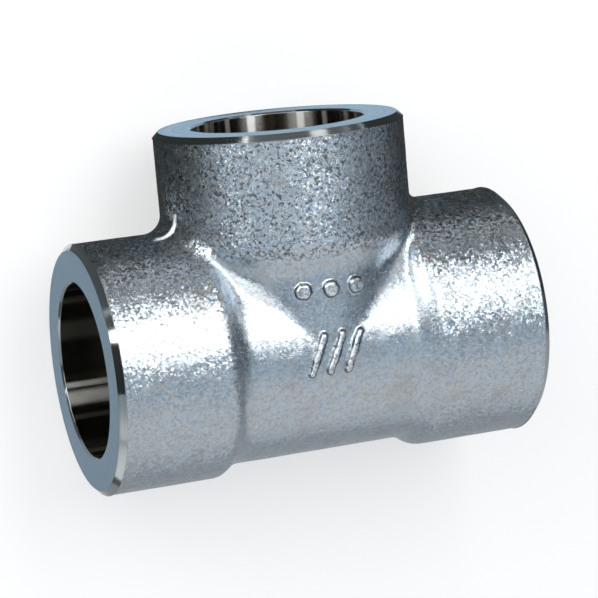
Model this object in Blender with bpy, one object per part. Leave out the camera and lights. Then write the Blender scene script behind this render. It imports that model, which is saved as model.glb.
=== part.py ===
"""Socket weld tee for 3/8 inch (DN 10) pipe: one steel forging, bored from its three ends.

The tee lies on its three collars, as it rests on a bench. The run is along X, the branch
points along +Y and +Z is up. The origin is on the bench, under the middle of the outline.

The outside is three turned arms, each a thick collar that steps down over a rounded shoulder
to a slimmer body. A ball rolled along the corners between the arms leaves the forged fillets.
The inside is three drilled waterways with a wider socket at each mouth. Both skins follow the
same rule: a turned profile about each axis, ended at the planes where the arms meet.
"""
import math

import bmesh
import bpy
import numpy as np

MM = 0.001

# Sockets
pipe_diameter = 17.2 * MM
pipe_clearance = 0.6 * MM
socket_depth = 9.5 * MM
mouth_chamfer = 0.2 * MM

# Waterways
waterway_diameter = 12.5 * MM
waterway_chamfer = 0.3 * MM
crossing_edge_break = 0.35 * MM

# Collars
socket_wall = 4.0 * MM
face_chamfer = 0.65 * MM

# Body
body_wall = 5.55 * MM
shoulder_station = 11.4 * MM
shoulder_slope = math.radians(50)
shoulder_round = 1.5 * MM
shoulder_hollow = 1.0 * MM
crotch_fillet = 2.0 * MM

# Lengths from the crossing of the axes to the bottom of each socket
run_socket_bottom = 13.5 * MM
branch_socket_bottom = 13.2 * MM

# Mesh fineness
columns_around = 64
outer_rows = 14
waterway_rows = 3
samples_along = 160
bend_weight = 2.2
smooth_below = math.radians(30)
weld_distance = 0.001 * MM
nearly_parallel = 1e-8
halvings = 40

# Where the fan of rays that traces a seam stands, as a share of the skin's radius at the top
seam_hub = 0.7

# Steel skin
steel_colour = (0.42, 0.44, 0.46, 1.0)
steel_roughness = 0.34

# Worked out from the sizes above
socket_radius = (pipe_diameter + pipe_clearance) / 2
waterway_radius = waterway_diameter / 2
collar_radius = socket_radius + socket_wall
body_radius = waterway_radius + body_wall
branch_reach = branch_socket_bottom + socket_depth
longest_ray = 2 * max(collar_radius, body_radius)

ALONG_X = np.array([1.0, 0.0, 0.0])
ALONG_Y = np.array([0.0, 1.0, 0.0])
ALONG_Z = np.array([0.0, 0.0, 1.0])


def from_axis(points, axis, both_ways):
    """Station along an arm's axis, distance from it and unit way out of it."""
    station = points @ axis
    if not both_ways:
        station = np.maximum(station, 0)
    spoke = points - station[..., None] * axis
    distance = np.maximum(np.linalg.norm(spoke, axis=-1), weld_distance)
    return np.abs(station), distance, spoke / distance[..., None]


def rolled_together(first, second, cosine, ball):
    """Distance outside two crossing forms, with the fillet that a rolling ball leaves."""
    sine_squared = 1 - cosine**2
    parallel = sine_squared < nearly_parallel
    first_left = ball - first
    second_left = ball - second
    to_ball = first_left**2 + second_left**2 - 2 * first_left * second_left * cosine
    to_ball = np.maximum(to_ball, 0) / np.where(parallel, 1, sine_squared)
    only_first = second_left <= cosine * first_left
    only_second = first_left <= cosine * second_left
    in_fillet = ~(parallel | only_first | only_second)
    return np.where(in_fillet, ball - np.sqrt(to_ball), np.minimum(first, second))


def sloped_collar(station, distance):
    """Distance outside a collar whose inner end slopes down from a rounded edge."""
    edge = shoulder_station - shoulder_round * math.tan(shoulder_slope / 2)
    above = distance - collar_radius
    past = above * math.cos(shoulder_slope) + (edge - station) * math.sin(shoulder_slope)
    return -rolled_together(-above, -past, math.cos(shoulder_slope), shoulder_round)


def forged_skin(points):
    """Distance outside the forging: a slim body and thick collars, all filleted together."""
    run_station, from_run, out_of_run = from_axis(points, ALONG_X, both_ways=True)
    branch_station, from_branch, out_of_branch = from_axis(points, ALONG_Y, both_ways=False)
    cosine = np.sum(out_of_run * out_of_branch, axis=-1)
    body = rolled_together(
        from_run - body_radius, from_branch - body_radius, cosine, crotch_fillet
    )
    collars = rolled_together(
        sloped_collar(run_station, from_run),
        sloped_collar(branch_station, from_branch),
        cosine,
        crotch_fillet,
    )
    overlap = np.maximum(shoulder_hollow - np.abs(body - collars), 0)
    return np.minimum(body, collars) - overlap**2 / (4 * shoulder_hollow)


def drilled_skin(points):
    """Distance outside the waterways, with the edge between them broken."""
    _, from_run, out_of_run = from_axis(points, ALONG_X, both_ways=True)
    _, from_branch, out_of_branch = from_axis(points, ALONG_Y, both_ways=False)
    cosine = np.sum(out_of_run * out_of_branch, axis=-1)
    return rolled_together(
        from_run - waterway_radius, from_branch - waterway_radius, cosine, crossing_edge_break
    )


def length_to_skin(starts, directions, skin, longest=longest_ray):
    """Length of each ray from inside the tee to its skin, by halving."""
    low = np.zeros(starts.shape[:-1])
    high = np.minimum(low + longest_ray, longest)
    for _ in range(halvings):
        middle = (low + high) / 2
        inside = skin(starts + middle[..., None] * directions) < 0
        low = np.where(inside, middle, low)
        high = np.where(inside, high, middle)
    return (low + high) / 2


def divided(places, points, parts):
    """Places along a path that divide it into parts of equal length and bend."""
    steps = np.diff(points, axis=0)
    lengths = np.linalg.norm(steps, axis=1)
    headings = steps / lengths[:, None]
    cosines = np.sum(headings[1:] * headings[:-1], axis=1)
    weights = lengths / lengths.sum()
    weights[1:] += bend_weight / math.pi * np.arccos(np.clip(cosines, -1, 1))
    passed = np.concatenate([[0], np.cumsum(weights)])
    return np.interp(np.linspace(0, passed[-1], parts + 1), passed, places)


def seam_of(skin):
    """Station and height of a quarter of the seam where run and branch meet, crotch to top."""
    top = length_to_skin(np.zeros((1, 3)), ALONG_Z[None, :], skin)[0]
    diagonal = (ALONG_X + ALONG_Y) / math.sqrt(2)
    hub = seam_hub * top * diagonal
    fan = np.linspace(0, math.atan2(top, -seam_hub * top), samples_along + 1)

    def fanned(angles):
        rays = np.cos(angles)[:, None] * diagonal + np.sin(angles)[:, None] * ALONG_Z
        starts = np.broadcast_to(hub, rays.shape)
        return starts + length_to_skin(starts, rays, skin)[:, None] * rays

    points = fanned(divided(fan, fanned(fan), columns_around // 4))
    points[-1] = top * ALONG_Z
    points[0, 2] = 0
    return points[:, 0], points[:, 2]


class Arm:
    """One arm of the tee: its axis, the side that its angles start from, and its sizes."""

    def __init__(self, axis, side, socket_bottom, seamed_behind):
        self.axis = axis
        self.side = side
        self.socket_bottom = socket_bottom
        self.reach = socket_bottom + socket_depth
        self.seamed_behind = seamed_behind
        self.angles = np.arange(columns_around) * 2 * math.pi / columns_around

    def spokes(self, angles):
        """Unit vectors across the axis at the given angles."""
        return np.cos(angles)[..., None] * self.side + np.sin(angles)[..., None] * ALONG_Z

    def rim(self, skin):
        """Station and angle at which each column meets the neighbouring arm."""
        seam_stations, seam_heights = seam_of(skin)
        quarter = columns_around // 4
        column = np.arange(columns_around)
        from_side = np.abs((column + quarter) % (2 * quarter) - quarter)
        seamed = (np.cos(self.angles) > 0) | self.seamed_behind
        station = np.where(seamed, seam_stations[from_side], 0)
        lean = np.arctan2(seam_heights, seam_stations)[from_side]
        evenly = from_side * math.pi / 2 / quarter
        turn = np.where(seamed, lean - evenly, 0)
        mirrored = np.sin(2 * self.angles) < 0
        return station, self.angles + np.where(mirrored, -turn, turn)

    def points_on(self, skin, stations, angles):
        """Points of a skin at the given stations and angles, on this arm's side of the seams."""
        starts = stations[..., None] * self.axis
        spokes = self.spokes(angles)
        towards_seam = np.cos(angles)
        if self.seamed_behind:
            towards_seam = np.abs(towards_seam)
        seamed = towards_seam > nearly_parallel
        to_seam = np.where(seamed, stations / np.where(seamed, towards_seam, 1), longest_ray)
        return starts + length_to_skin(starts, spokes, skin, to_seam)[..., None] * spokes

    def graded_points(self, skin, top, rows):
        """Rows of points from the rim up to the station top, closer where the skin bends."""
        rim_stations, rim_angles = self.rim(skin)
        share = np.linspace(0, 1, samples_along + 1)
        stations = rim_stations[:, None] + share * (top - rim_stations)[:, None]
        angles = rim_angles[:, None] + share * (self.angles - rim_angles)[:, None]
        points = self.points_on(skin, stations, angles)
        shares = np.array([divided(share, column, rows) for column in points])
        stations = rim_stations[:, None] + shares * (top - rim_stations)[:, None]
        angles = rim_angles[:, None] + shares * (self.angles - rim_angles)[:, None]
        return self.points_on(skin, stations, angles)

    def ring(self, station, radius):
        """One turned circle of points, a row of the mesh."""
        return (station * self.axis + radius * self.spokes(self.angles))[:, None, :]

    def mesh_points(self):
        """Columns of points from the crossing of the waterways, over the mouth, to the crotch."""
        waterway_end = self.socket_bottom - waterway_chamfer
        collar_end = self.reach - face_chamfer
        rows = [
            self.graded_points(drilled_skin, waterway_end, waterway_rows),
            self.ring(self.socket_bottom, waterway_radius + waterway_chamfer),
            self.ring(self.socket_bottom, socket_radius),
            self.ring(self.reach - mouth_chamfer, socket_radius),
            self.ring(self.reach, socket_radius + mouth_chamfer),
            self.ring(self.reach, collar_radius - face_chamfer),
            self.graded_points(forged_skin, collar_end, outer_rows)[:, ::-1],
        ]
        return np.concatenate(rows, axis=1)


def add_arm(mesh_builder, arm):
    """Add one arm as quads between neighbouring columns."""
    columns = [
        [mesh_builder.verts.new(point) for point in column]
        for column in arm.mesh_points()
    ]
    for column, following in zip(columns, columns[1:] + columns[:1]):
        for row in range(len(column) - 1):
            corners = (column[row], following[row], following[row + 1], column[row + 1])
            mesh_builder.faces.new(corners)


def tee_mesh():
    """The whole tee about the crossing of its axes, as one closed mesh."""
    arms = [
        Arm(ALONG_X, ALONG_Y, run_socket_bottom, seamed_behind=False),
        Arm(-ALONG_X, ALONG_Y, run_socket_bottom, seamed_behind=False),
        Arm(ALONG_Y, ALONG_X, branch_socket_bottom, seamed_behind=True),
    ]
    mesh_builder = bmesh.new()
    for arm in arms:
        add_arm(mesh_builder, arm)
    bmesh.ops.remove_doubles(mesh_builder, verts=mesh_builder.verts, dist=weld_distance)
    bmesh.ops.recalc_face_normals(mesh_builder, faces=mesh_builder.faces)
    mesh = bpy.data.meshes.new("tee_body")
    mesh_builder.to_mesh(mesh)
    mesh_builder.free()
    mesh.shade_smooth()
    mesh.set_sharp_from_angle(angle=smooth_below)
    return mesh


def forged_steel():
    """Bare blasted steel."""
    material = bpy.data.materials.new("forged_stainless")
    material.use_nodes = True
    surface = material.node_tree.nodes["Principled BSDF"]
    surface.inputs["Base Color"].default_value = steel_colour
    surface.inputs["Metallic"].default_value = 1.0
    surface.inputs["Roughness"].default_value = steel_roughness
    return material


def build_tee():
    """Place the tee on the bench, its outline centred over the origin."""
    body = bpy.data.objects.new("tee_body", tee_mesh())
    body.data.materials.append(forged_steel())
    body.location = (0.0, (collar_radius - branch_reach) / 2, collar_radius)
    bpy.context.collection.objects.link(body)


for old_object in list(bpy.data.objects):
    bpy.data.objects.remove(old_object)

build_tee()
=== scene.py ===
"""Looks of a forged socket weld tee that lies on a bench on its three collars.

The run is along X, the branch points along +Y and +Z is up. The tee is one piece of steel: a
forging with a shot-blasted skin, turned end faces with polished chamfers, and bored sockets. Its
outside follows one rule, a ball rolled along the corners between turned arms, which Geometry
Nodes work out. A second tree raises the marks, leaves the forging's lumps and gives each face its
finish. The fine grain of the skin is in its material.
"""
import logging
import math
from collections.abc import Callable
from dataclasses import dataclass, field
from enum import IntEnum
from functools import reduce
import bmesh
import bpy
import numpy as np
from mathutils import Matrix, Vector


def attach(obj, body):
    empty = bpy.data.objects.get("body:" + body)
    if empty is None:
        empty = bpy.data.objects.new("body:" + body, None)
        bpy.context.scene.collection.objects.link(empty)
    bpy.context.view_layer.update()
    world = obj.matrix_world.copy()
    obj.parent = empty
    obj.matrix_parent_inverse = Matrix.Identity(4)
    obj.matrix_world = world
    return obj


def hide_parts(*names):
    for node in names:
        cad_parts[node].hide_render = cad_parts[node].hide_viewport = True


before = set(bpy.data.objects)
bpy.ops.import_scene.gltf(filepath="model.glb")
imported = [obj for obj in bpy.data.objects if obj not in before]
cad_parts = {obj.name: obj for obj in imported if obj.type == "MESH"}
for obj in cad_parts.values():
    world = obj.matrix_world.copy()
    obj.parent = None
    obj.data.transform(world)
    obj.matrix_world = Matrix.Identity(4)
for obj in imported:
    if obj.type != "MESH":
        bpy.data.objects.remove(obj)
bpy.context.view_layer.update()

MM = 0.001
X_AXIS = Vector((1, 0, 0))
Y_AXIS = Vector((0, 1, 0))
Z_AXIS = Vector((0, 0, 1))
WHITE = (1.0, 1.0, 1.0, 1.0)
MIDDLE_GREY = Vector((0.5, 0.5, 0.5))
Socket = bpy.types.NodeSocket
Material = bpy.types.Material

log = logging.getLogger("tee")


class Finish(IntEnum):
    """Which finish a face of the tee has."""

    BLASTED = 0
    TURNED = 1
    POLISHED = 2
    BORED = 3


def reckoning(
    operation: str, reflected: bool = False
) -> Callable[["Value", "Value | float"], "Value"]:
    """Make an operator of Value that adds a Math node.

    Args:
        operation: the node's operation.
        reflected: whether the value stands on the operator's right.

    Returns:
        The operator's method.
    """

    def method(self: "Value", other: "Value | float") -> "Value":
        """Add the Math node."""
        return self.tree.math(operation, *((other, self) if reflected else (self, other)))

    return method


class Value:
    """A node's number, which Python expressions can reckon with.

    Less than and greater than give one where they hold, and zero elsewhere. at_least gives the
    larger of two, and at_most the smaller.
    """

    __add__, __radd__ = reckoning("ADD"), reckoning("ADD", True)
    __sub__, __rsub__ = reckoning("SUBTRACT"), reckoning("SUBTRACT", True)
    __mul__, __rmul__ = reckoning("MULTIPLY"), reckoning("MULTIPLY", True)
    __truediv__, __rtruediv__ = reckoning("DIVIDE"), reckoning("DIVIDE", True)
    __lt__, __gt__ = reckoning("LESS_THAN"), reckoning("GREATER_THAN")
    at_least, at_most = reckoning("MAXIMUM"), reckoning("MINIMUM")

    def __init__(self, tree: "Tree", socket: Socket) -> None:
        """Hold one output socket of a tree."""
        self.tree = tree
        self.socket = socket

    def __neg__(self) -> "Value":
        """Turn the sign."""
        return self.tree.math("MULTIPLY", self, -1.0)

    def root(self) -> "Value":
        """Square root."""
        return self.tree.math("SQRT", self)

    def size(self) -> "Value":
        """Value without its sign."""
        return self.tree.math("ABSOLUTE", self)

    def rise(
        self, low: "Value | float", high: float, bottom: float = 0.0, top: float = 1.0
    ) -> "Value":
        """Smooth step.

        Args:
            low: value where the step starts.
            high: value where the step ends.
            bottom: result before the step.
            top: result after the step.

        Returns:
            The stepped value.
        """
        settings = {"interpolation_type": "SMOOTHSTEP"}
        sockets = {"Value": self, "From Min": low, "From Max": high}
        sockets |= {"To Min": bottom, "To Max": top}
        return self.tree.value("ShaderNodeMapRange", settings, sockets)


class Place:
    """A node's vector, which Python expressions can reckon with."""

    def __init__(self, tree: "Tree", socket: Socket) -> None:
        """Hold one vector output of a tree."""
        self.tree = tree
        self.socket = socket

    def __add__(self, other: "Place | Vector") -> "Place":
        """Add."""
        return self.tree.vector_math("ADD", self, other)

    def __sub__(self, other: "Place | Vector") -> "Place":
        """Subtract."""
        return self.tree.vector_math("SUBTRACT", self, other)

    def __mul__(self, other: "Value | float") -> "Place":
        """Scale by a number."""
        sockets = {"Vector": self, "Scale": other}
        return self.tree.place("ShaderNodeVectorMath", {"operation": "SCALE"}, sockets)

    def stretched(self, other: "Place | Vector") -> "Place":
        """Multiply component by component."""
        return self.tree.vector_math("MULTIPLY", self, other)

    def dot(self, other: "Place | Vector") -> Value:
        """Dot product."""
        settings = {"operation": "DOT_PRODUCT"}
        return self.tree.value("ShaderNodeVectorMath", settings, {0: self, 1: other}, "Value")

    def length(self) -> Value:
        """Length."""
        return self.tree.value("ShaderNodeVectorMath", {"operation": "LENGTH"}, {0: self}, "Value")

    def unit(self) -> "Place":
        """Same direction, length one."""
        return self.tree.vector_math("NORMALIZE", self)

    def part(self, axis: str) -> Value:
        """Component X, Y or Z."""
        return self.tree.value("ShaderNodeSeparateXYZ", {}, {"Vector": self}, axis)


class Tree:
    """A node tree that is built from Python, for a shader, the world or geometry."""

    def __init__(self, nodes: bpy.types.NodeTree) -> None:
        """Take over a tree of Blender's."""
        self.nodes = nodes

    def node(self, kind: str, settings: dict, sockets: dict) -> bpy.types.Node:
        """Add a node.

        Args:
            kind: the node's type.
            settings: its properties, set first.
            sockets: values or links by the socket's name, identifier or number.

        Returns:
            The node.
        """
        made = self.nodes.nodes.new(kind)
        for name, setting in settings.items():
            setattr(made, name, setting)
        for key, value in sockets.items():
            self.feed(self.socket(made.inputs, key), value)
        return made

    @staticmethod
    def socket(sockets: bpy.types.bpy_prop_collection, key: str | int) -> Socket:
        """Find a socket by number, or by name or identifier among those in use."""
        if isinstance(key, int):
            return sockets[key]
        return next(s for s in sockets if s.enabled and key in (s.name, s.identifier))

    def feed(self, socket: Socket, value: object) -> None:
        """Link a value to a socket, or set it as a constant."""
        if isinstance(value, (Value, Place)):
            self.nodes.links.new(value.socket, socket)
        elif isinstance(value, Socket):
            self.nodes.links.new(value, socket)
        else:
            socket.default_value = value

    def out(self, kind: str, settings: dict, sockets: dict, key: str | int = 0) -> Socket:
        """Add a node and return one of its outputs."""
        return self.socket(self.node(kind, settings, sockets).outputs, key)

    def value(self, kind: str, settings: dict, sockets: dict, key: str | int = 0) -> Value:
        """Add a node and return a number of it."""
        return Value(self, self.out(kind, settings, sockets, key))

    def place(self, kind: str, settings: dict, sockets: dict, key: str | int = 0) -> Place:
        """Add a node and return a vector of it."""
        return Place(self, self.out(kind, settings, sockets, key))

    def math(self, operation: str, *numbers: Value | float) -> Value:
        """Add a Math node."""
        return self.value("ShaderNodeMath", {"operation": operation}, dict(enumerate(numbers)))

    def vector_math(self, operation: str, *vectors: Place | Vector) -> Place:
        """Add a Vector Math node."""
        settings = {"operation": operation}
        return self.place("ShaderNodeVectorMath", settings, dict(enumerate(vectors)))

    def blend(self, share: Value | float, first: Value | float, second: Value | float) -> Value:
        """Go from the first number to the second as the share goes from zero to one."""
        sockets = {"Factor": share, "A": first, "B": second}
        return self.value("ShaderNodeMix", {"data_type": "FLOAT"}, sockets, "Result")

    def blend_places(self, share: Value, first: Place | Vector, second: Place | Vector) -> Place:
        """Go from the first vector to the second as the share goes from zero to one."""
        sockets = {"Factor": share, "A": first, "B": second}
        return self.place("ShaderNodeMix", {"data_type": "VECTOR"}, sockets, "Result")

    def blend_colours(
        self, share: Value | float, first: Place | tuple, second: Place | tuple, how: str = "MIX"
    ) -> Place:
        """Mix two colours.

        Args:
            share: factor of the mix.
            first: colour at zero.
            second: colour at one.
            how: blend type of the mix.

        Returns:
            The mixed colour.
        """
        settings = {"data_type": "RGBA", "blend_type": how}
        sockets = {"Factor": share, "A": first, "B": second}
        return self.place("ShaderNodeMix", settings, sockets, "Result")

    def combined(
        self, x: Value | float = 0.0, y: Value | float = 0.0, z: Value | float = 0.0
    ) -> Place:
        """Make a vector of three numbers."""
        return self.place("ShaderNodeCombineXYZ", {}, {"X": x, "Y": y, "Z": z})

    def shaded(self, colour: Place | tuple, shade: Value) -> Place:
        """Multiply a colour by a number."""
        return self.blend_colours(1.0, colour, self.combined(shade, shade, shade), "MULTIPLY")

    def noise(self, place: Place, grain: float, detail: float = 2.0, rough: float = 0.5) -> Value:
        """Noise whose lumps are about one grain wide."""
        sockets = {"Vector": place, "Scale": 1 / grain, "Detail": detail, "Roughness": rough}
        return self.value("ShaderNodeTexNoise", {}, sockets, 0)


class GeometryTree(Tree):
    """A Geometry Nodes tree with named inputs."""

    def __init__(self, name: str) -> None:
        """Make an empty tree with a geometry input and output."""
        super().__init__(bpy.data.node_groups.new(name, "GeometryNodeTree"))
        self.panel = self.nodes.interface
        self.panel.new_socket("Geometry", in_out="INPUT", socket_type="NodeSocketGeometry")
        self.panel.new_socket("Geometry", in_out="OUTPUT", socket_type="NodeSocketGeometry")
        self.entry = self.nodes.nodes.new("NodeGroupInput")
        self.inputs: dict[str, float | int] = {}

    def size(self, name: str, value: float) -> Value:
        """Add a named number to the tree's inputs."""
        self.panel.new_socket(name, in_out="INPUT", socket_type="NodeSocketFloat")
        self.inputs[name] = value
        return Value(self, self.entry.outputs[name])

    def count(self, name: str, value: int) -> Value:
        """Add a named whole number to the tree's inputs."""
        self.panel.new_socket(name, in_out="INPUT", socket_type="NodeSocketInt")
        self.inputs[name] = value
        return Value(self, self.entry.outputs[name])

    def number_at(self, name: str) -> Value:
        """Number that the mesh keeps under a name at each point."""
        settings = {"data_type": "FLOAT"}
        return self.value("GeometryNodeInputNamedAttribute", settings, {"Name": name}, "Attribute")

    def place_at(self, name: str) -> Place:
        """Vector that the mesh keeps under a name at each point."""
        settings = {"data_type": "FLOAT_VECTOR"}
        return self.place("GeometryNodeInputNamedAttribute", settings, {"Name": name}, "Attribute")

    def kept(
        self, geometry: Socket, name: str, value: Value | Place
    ) -> Socket:
        """Store a number or a vector under a name at each point."""
        kind = "FLOAT" if isinstance(value, Value) else "FLOAT_VECTOR"
        settings = {"data_type": kind, "domain": "POINT"}
        sockets = {"Geometry": geometry, "Name": name, "Value": value}
        return self.out("GeometryNodeStoreNamedAttribute", settings, sockets)

    def dressed(
        self, geometry: Socket, materials: dict[Finish, Material]
    ) -> None:
        """End the tree: realize all, and give each face the material of its finish."""
        geometry = self.out("GeometryNodeRealizeInstances", {}, {"Geometry": geometry})
        finish = {"data_type": "INT"}
        for number, material in materials.items():
            sockets = {"Name": "finish"}
            of_face = self.out("GeometryNodeInputNamedAttribute", finish, sockets, "Attribute")
            sockets = {"A": of_face, "B": int(number)}
            chosen = self.out("FunctionNodeCompare", {**finish, "operation": "EQUAL"}, sockets)
            sockets = {"Geometry": geometry, "Selection": chosen, "Material": material}
            geometry = self.out("GeometryNodeSetMaterial", {}, sockets)
        exit_node = self.nodes.nodes.new("NodeGroupOutput")
        self.nodes.links.new(geometry, exit_node.inputs[0])

    def applied(self, piece: bpy.types.Object) -> None:
        """Run the tree on a piece and keep the result as its plain mesh."""
        modifier = piece.modifiers.new(self.nodes.name, "NODES")
        modifier.node_group = self.nodes
        for socket in self.panel.items_tree:
            if socket.in_out == "INPUT" and socket.name in self.inputs:
                modifier[socket.identifier] = self.inputs[socket.name]
        evaluated = piece.evaluated_get(bpy.context.evaluated_depsgraph_get())
        mesh = bpy.data.meshes.new_from_object(evaluated)
        piece.modifiers.remove(modifier)
        piece.data = mesh


@dataclass(frozen=True)
class ForgingSizes:
    """Sizes of the forging: the solid's, but for a softer branch shoulder and body fillet."""

    socket_radius: float = 8.9 * MM
    socket_depth: float = 9.5 * MM
    mouth_chamfer: float = 0.2 * MM
    waterway_radius: float = 6.25 * MM
    waterway_chamfer: float = 0.3 * MM
    crossing_edge_break: float = 0.35 * MM
    collar_radius: float = 12.9 * MM
    face_chamfer: float = 0.65 * MM
    body_radius: float = 11.8 * MM
    shoulder_station: float = 11.4 * MM
    run_shoulder_slope: float = math.radians(50)
    branch_shoulder_slope: float = math.radians(32)
    shoulder_round: float = 1.5 * MM
    shoulder_hollow: float = 1.0 * MM
    crotch_fillet: float = 2.0 * MM
    body_fillet: float = 4.0 * MM
    run_socket_bottom: float = 13.5 * MM
    branch_socket_bottom: float = 13.2 * MM

    def crossing(self) -> Vector:
        """Where the three axes meet, above the bench."""
        branch_reach = self.branch_socket_bottom + self.socket_depth
        return Vector((0, (self.collar_radius - branch_reach) / 2, self.collar_radius))


@dataclass(frozen=True)
class ForgingRule:
    """The rule that the tee's skins follow, as node expressions."""

    sizes: ForgingSizes
    nearly_parallel: float = 1e-5
    hair: float = 0.001 * MM

    def from_axis(self, point: Place, axis: Vector, both_ways: bool) -> tuple[Value, Value, Place]:
        """Measure from an arm's axis.

        Args:
            point: where to measure.
            axis: the arm's direction.
            both_ways: whether the arm goes on past the crossing.

        Returns:
            Station along the axis, distance from it and unit way out of it.
        """
        station = point.dot(axis)
        if not both_ways:
            station = station.at_least(0.0)
        sockets = {"Vector": axis, "Scale": station}
        spoke = point - point.tree.place("ShaderNodeVectorMath", {"operation": "SCALE"}, sockets)
        return station.size(), spoke.length().at_least(self.hair), spoke.unit()

    def rolled_together(self, first: Value, second: Value, cosine: Value, ball: float) -> Value:
        """Join two forms with the fillet of a rolling ball.

        Args:
            first: distance outside the first form.
            second: distance outside the second form.
            cosine: of the angle between the ways out of them.
            ball: radius of the ball.

        Returns:
            Distance outside the joined form.
        """
        tree = first.tree
        sine_squared = 1 - cosine * cosine
        leaning = sine_squared > self.nearly_parallel
        first_left = ball - first
        second_left = ball - second
        reach = first_left * first_left + second_left * second_left
        reach = reach - first_left * second_left * cosine * 2
        reach = reach.at_least(0.0) / sine_squared.at_least(self.nearly_parallel)
        by_both = (second_left > cosine * first_left) * (first_left > cosine * second_left)
        return tree.blend(by_both * leaning, first.at_most(second), ball - reach.root())

    def collar(self, station: Value, distance: Value, slope: float) -> Value:
        """Measure from a collar whose inner end slopes down from a rounded edge.

        Args:
            station: along the arm.
            distance: from the arm's axis.
            slope: angle of the shoulder to the axis.

        Returns:
            Distance outside the collar.
        """
        sizes = self.sizes
        edge = sizes.shoulder_station - sizes.shoulder_round * math.tan(slope / 2)
        above = distance - sizes.collar_radius
        past = above * math.cos(slope) + (edge - station) * math.sin(slope)
        cosine = above * 0.0 + math.cos(slope)
        return -self.rolled_together(-above, -past, cosine, sizes.shoulder_round)

    def skins(self, point: Place) -> tuple[Value, Value, Value]:
        """Distance outside the slim body, the collars and the waterways at a point."""
        sizes = self.sizes
        run_station, from_run, out_of_run = self.from_axis(point, X_AXIS, True)
        branch_station, from_branch, out_of_branch = self.from_axis(point, Y_AXIS, False)
        cosine = out_of_run.dot(out_of_branch)
        run, branch = from_run - sizes.body_radius, from_branch - sizes.body_radius
        body = self.rolled_together(run, branch, cosine, sizes.body_fillet)
        run = self.collar(run_station, from_run, sizes.run_shoulder_slope)
        branch = self.collar(branch_station, from_branch, sizes.branch_shoulder_slope)
        collars = self.rolled_together(run, branch, cosine, sizes.crotch_fillet)
        run, branch = from_run - sizes.waterway_radius, from_branch - sizes.waterway_radius
        waterways = self.rolled_together(run, branch, cosine, sizes.crossing_edge_break)
        return body, collars, waterways

    def skin(self, point: Place, inner: Value) -> Value:
        """Distance outside the forging, or outside the waterways where inner is one."""
        body, collars, waterways = self.skins(point)
        hollow = self.sizes.shoulder_hollow
        overlap = (hollow - (body - collars).size()).at_least(0.0)
        outer = body.at_most(collars) - overlap * overlap / (4 * hollow)
        return point.tree.blend(inner, outer, waterways)


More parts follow.
